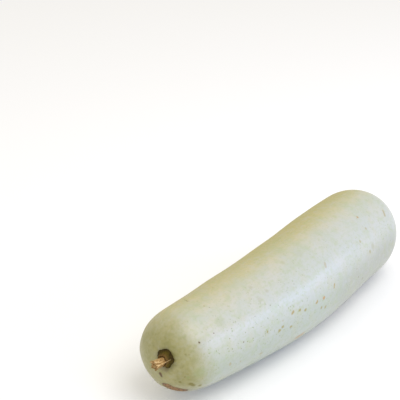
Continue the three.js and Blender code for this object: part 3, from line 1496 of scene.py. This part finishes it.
    def fibres(self) -> bpy.types.Object:
        """Builds the splinters at the torn end and the strand that has peeled back.

        Returns:
            The dressed piece.
        """
        draw = random.Random(self.seed)
        skin = bmesh.new()
        for number in range(self.splinters):
            angle = (number + draw.uniform(*self.angle_draw)) / self.splinters * TURN
            radius = self.shaft_radius * draw.uniform(*self.radius_draw)
            out = Vector((math.cos(angle), 0, math.sin(angle)))
            height = self.length - self.splinter_root + self.tear_slant * math.cos(angle - self.tear_turn)
            reach = self.splinter_length * draw.uniform(*self.reach_draw)
            start = out * radius + Vector((0, height, 0))
            middle = start + Vector((0, self.splinter_bend * reach, 0))
            end = start + Vector((0, reach, 0)) + out * draw.uniform(*self.flare_draw) * reach
            thickness = self.splinter_radius * draw.uniform(*self.thickness_draw)
            self.sliver(skin, (start, middle, end), thickness)
        self.sliver(skin, self.strand(), self.strand_share * self.splinter_radius)
        return finish_piece(skin, "stem_fibres", SplinterWood().material(self))

    def build(self) -> list[bpy.types.Object]:
        """Builds the stem's pieces.

        Returns:
            The dressed pieces.
        """
        pieces = [self.collar(), self.core(), self.fibres()]
        for piece in pieces:
            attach(piece, BODY)
            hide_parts(STEM_NODE)
        return pieces


@dataclass(frozen=True)
class StemFinish:
    """What the finishes of the dry stem share: the tones of its wood, a dull surface and long fibres."""

    wood: Colour = srgb(188, 150, 92)
    wood_dark: Colour = srgb(120, 88, 46)
    wood_pale: Colour = srgb(212, 184, 136)
    roughness: float = 0.75
    roughness_range: float = 0.1
    shine: float = 0.15
    fibre_scale: tuple[float, float, float] = (1.0, 0.12, 1.0)

    def along(self, recipe: Recipe, stem: Stem) -> Value:
        """Share of the stem's length that a point has come out from the rind."""
        out = stem.frame.to_3x3() @ Vector((0, 1, 0))
        return recipe.slope(stem.frame.translation, tuple(out), stem.length)

    def dulled(self, grain: Value) -> Value:
        """Roughness that varies with a noise."""
        return self.roughness + self.roughness_range * (grain - 0.5)

    def fibre_noise(self, recipe: Recipe, stem: Stem, size: float) -> Value:
        """Noise drawn out along the stem.

        Args:
            recipe: The material in the making.
            stem: The stem that it is for.
            size: Width of a fibre in metres.

        Returns:
            The noise.
        """
        turn = stem.frame.to_3x3().inverted().to_euler()
        inputs = {"Vector": recipe.place, "Rotation": tuple(turn)}
        turned = recipe.node("ShaderNodeMapping", {}, inputs)
        return recipe.grain(size, 3, recipe.vector("MULTIPLY", turned, self.fibre_scale))


@dataclass(frozen=True)
class CollarSkin(StemFinish):
    """Olive skin of the collar, darker low down and between its paler fibres and blotches."""

    skin: Colour = srgb(88, 74, 14)
    skin_dark: Colour = srgb(46, 34, 4)
    fibre_size: float = 0.0016
    fibre_rise: Span = (0.35, 0.65)
    fibre_share: float = 0.5
    blotch_size: float = 0.006
    blotch_rise: Span = (0.35, 0.6)
    blotch_share: float = 0.35
    least_lit: float = 0.15
    base_rise: Span = (0.0, 0.16)
    dried_rise: Span = (0.14, 0.30)
    dried_share: float = 0.5
    relief: float = 0.0004

    def material(self, stem: Stem) -> bpy.types.Material:
        """Makes the collar's material.

        Args:
            stem: The stem that it is for.

        Returns:
            The material.
        """
        recipe = Recipe("stem_skin")
        fibres = self.fibre_noise(recipe, stem, self.fibre_size)
        blotch = recipe.grain(self.blotch_size, 2)
        along = self.along(recipe, stem)
        lit = self.least_lit + self.fibre_share * fibres.step(*self.fibre_rise)
        lit = lit + self.blotch_share * blotch.step(*self.blotch_rise)
        colour = recipe.mix(self.skin_dark, self.skin, lit * along.step(*self.base_rise))
        colour = recipe.mix(colour, self.wood_dark, self.dried_share * along.step(*self.dried_rise))
        return recipe.dress(colour, self.dulled(blotch), fibres, self.relief, self.shine)


@dataclass(frozen=True)
class CoreWood(StemFinish):
    """Tan wood of the core, with pale torn fibres towards its end, darker wood low down and inside, and
    painted shade on its underside.
    """

    fibre_size: float = 0.0011
    fibre_rise: Span = (0.35, 0.55)
    pale_rise: Span = (0.42, 0.66)
    pale_share: float = 0.30
    pale_torn: float = 0.65
    torn_rise: Span = (0.45, 1.0)
    blotch_size: float = 0.004
    blotch_rise: Span = (0.55, 0.75)
    blotch_share: float = 0.4
    pith_reach: float = 1.5
    pith_edge: Span = (0.3, 0.8)
    pith_share: float = 0.1
    core_underside_shade_fall: Span = (-1.0, 0.2)
    core_underside_shade_share: float = 0.6
    base_fall: Span = (0.35, 0.80)
    base_share: float = 0.5
    relief: float = 0.0006

    def material(self, stem: Stem) -> bpy.types.Material:
        """Makes the core's material.

        Args:
            stem: The stem that it is for.

        Returns:
            The material.
        """
        recipe = Recipe("stem_wood")
        fibres = self.fibre_noise(recipe, stem, self.fibre_size)
        blotch = recipe.grain(self.blotch_size, 2)
        along = self.along(recipe, stem)
        torn = along.step(*self.torn_rise)
        colour = recipe.mix(self.wood_dark, self.wood, fibres.step(*self.fibre_rise))
        pale = fibres.step(*self.pale_rise) * (self.pale_share + self.pale_torn * torn)
        colour = recipe.mix(colour, self.wood_pale, pale)
        colour = recipe.mix(colour, self.wood_dark, self.blotch_share * blotch.step(*self.blotch_rise))
        root = stem.frame.translation
        tip = stem.frame @ Vector((0, self.pith_reach * stem.length, 0))
        pith = recipe.away(recipe.place, root, tip).within(self.pith_edge, stem.shaft_radius)
        over = tuple(stem.frame.to_3x3() @ UP)
        # Painted shade: the core's underside is darker.
        low = recipe.slope(root, over, stem.shaft_radius).within(self.core_underside_shade_fall)
        shaded = (self.pith_share * (pith * torn)).larger(self.core_underside_shade_share * low)
        colour = recipe.mix(colour, self.wood_dark, shaded)
        colour = recipe.mix(colour, self.wood_dark, self.base_share * along.within(self.base_fall))
        return recipe.dress(colour, self.dulled(blotch), fibres, self.relief, self.shine)


@dataclass(frozen=True)
class SplinterWood(StemFinish):
    """Pale wood of the loose splinters."""

    fibre_size: float = 0.0008
    fibre_rise: Span = (0.3, 0.6)
    pale_share: float = 0.3
    pale_fibre: float = 0.5
    relief: float = 0.0003

    def material(self, stem: Stem) -> bpy.types.Material:
        """Makes the splinters' material.

        Args:
            stem: The stem that it is for.

        Returns:
            The material.
        """
        recipe = Recipe("stem_splinters")
        fibres = self.fibre_noise(recipe, stem, self.fibre_size)
        pale = self.pale_share + self.pale_fibre * fibres.step(*self.fibre_rise)
        colour = recipe.mix(self.wood_dark, self.wood_pale, pale)
        return recipe.dress(colour, self.dulled(fibres), fibres, self.relief, self.shine)


@dataclass(frozen=True)
class SoftLight:
    """A soft light: where it stands round the gourd, its size, radiance and colour."""

    name: str
    azimuth: float
    elevation: float
    distance: float
    width: float
    height: float
    radiance: float
    colour: tuple[float, float, float]

    def build(self, target: Vector) -> bpy.types.Object:
        """Hangs the light so that it faces a target.

        Args:
            target: What it faces.

        Returns:
            The light.
        """
        lamp = bpy.data.lights.new(self.name, "AREA")
        lamp.shape = "RECTANGLE"
        lamp.size = self.width
        lamp.size_y = self.height
        lamp.energy = self.radiance * math.pi * self.width * self.height
        lamp.color = self.colour
        light = bpy.data.objects.new(self.name, lamp)
        back = direction(self.azimuth, self.elevation)
        light.location = target + back * self.distance
        light.rotation_euler = back.to_track_quat("Z", "Y").to_euler()
        bpy.context.scene.collection.objects.link(light)
        return light


@dataclass
class Studio:
    """Pale floor, soft light and the camera."""

    floor_size: float = 14.0
    floor_colour: Colour = (0.965, 0.955, 0.945, 1.0)
    floor_roughness: float = 0.9
    sky_colour: Colour = (1.0, 0.985, 0.95, 1.0)
    sky_strength: float = 0.87
    lights: tuple[SoftLight, ...] = (
        SoftLight("side_light", 22, 15, 1.3, 1.6, 0.38, 3.9, (0.40, 0.54, 1.0)),
        SoftLight("top_light", -10, 60, 1.6, 1.15, 1.15, 2.5, (1.0, 1.0, 1.0)),
    )
    lens: float = 100.0
    sensor: float = 36.0
    view_azimuth: float = -53.46
    view_elevation: float = 24.0
    view_distance: float = 1.4489
    aim_x: float = 0.2067
    aim_y: float = 0.2655

    def floor(self) -> bpy.types.Object:
        """Lays the floor.

        Returns:
            The floor.
        """
        recipe = Recipe("pale_floor")
        recipe.shader.inputs["Base Color"].default_value = self.floor_colour
        recipe.shader.inputs["Roughness"].default_value = self.floor_roughness
        recipe.shader.inputs["Specular IOR Level"].default_value = 0.0
        skin = bmesh.new()
        bmesh.ops.create_grid(skin, x_segments=1, y_segments=1, size=self.floor_size / 2)
        floor = finish_piece(skin, "floor", recipe.material)
        return floor

    def sky(self) -> None:
        """Sets the even light from all round."""
        world = bpy.data.worlds.new("soft_sky")
        world.use_nodes = True
        background = world.node_tree.nodes["Background"]
        background.inputs["Color"].default_value = self.sky_colour
        background.inputs["Strength"].default_value = self.sky_strength
        bpy.context.scene.world = world
        bpy.context.scene.view_settings.view_transform = "Standard"

    def camera(self, middle: Vector) -> bpy.types.Object:
        """Sets the camera.

        Args:
            middle: Middle of the fruit's axis.

        Returns:
            The camera.
        """
        lens = bpy.data.cameras.new("camera")
        lens.lens = self.lens
        lens.sensor_width = self.sensor
        camera = bpy.data.objects.new("camera", lens)
        back = direction(self.view_azimuth, self.view_elevation)
        aim = Vector((middle.x + self.aim_x, middle.y + self.aim_y, 0))
        camera.location = aim + back * self.view_distance
        camera.rotation_euler = back.to_track_quat("Z", "Y").to_euler()
        bpy.context.scene.collection.objects.link(camera)
        bpy.context.scene.camera = camera
        return camera

    def build(self, middle: Vector) -> None:
        """Builds the studio round the gourd.

        Args:
            middle: Middle of the fruit's axis.
        """
        self.floor()
        self.sky()
        self.camera(middle)
        for light in self.lights:
            light.build(middle)


def main() -> None:
    """Builds the gourd and its studio, and reports each piece."""
    logging.basicConfig(level=logging.INFO, format="%(name)s: %(message)s")
    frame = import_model()
    LOG.info("the frame has %d solids", len(frame["nodes"]))
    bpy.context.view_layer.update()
    fruit = Fruit()
    pieces = [fruit.build()]
    stem = Stem(fruit.stem_frame())
    pieces.extend(stem.build())
    for piece in pieces:
        LOG.info("%s has %d faces", piece.name, len(piece.data.polygons))
    Studio().build(fruit.middle)


if __name__ == "__main__":
    main()
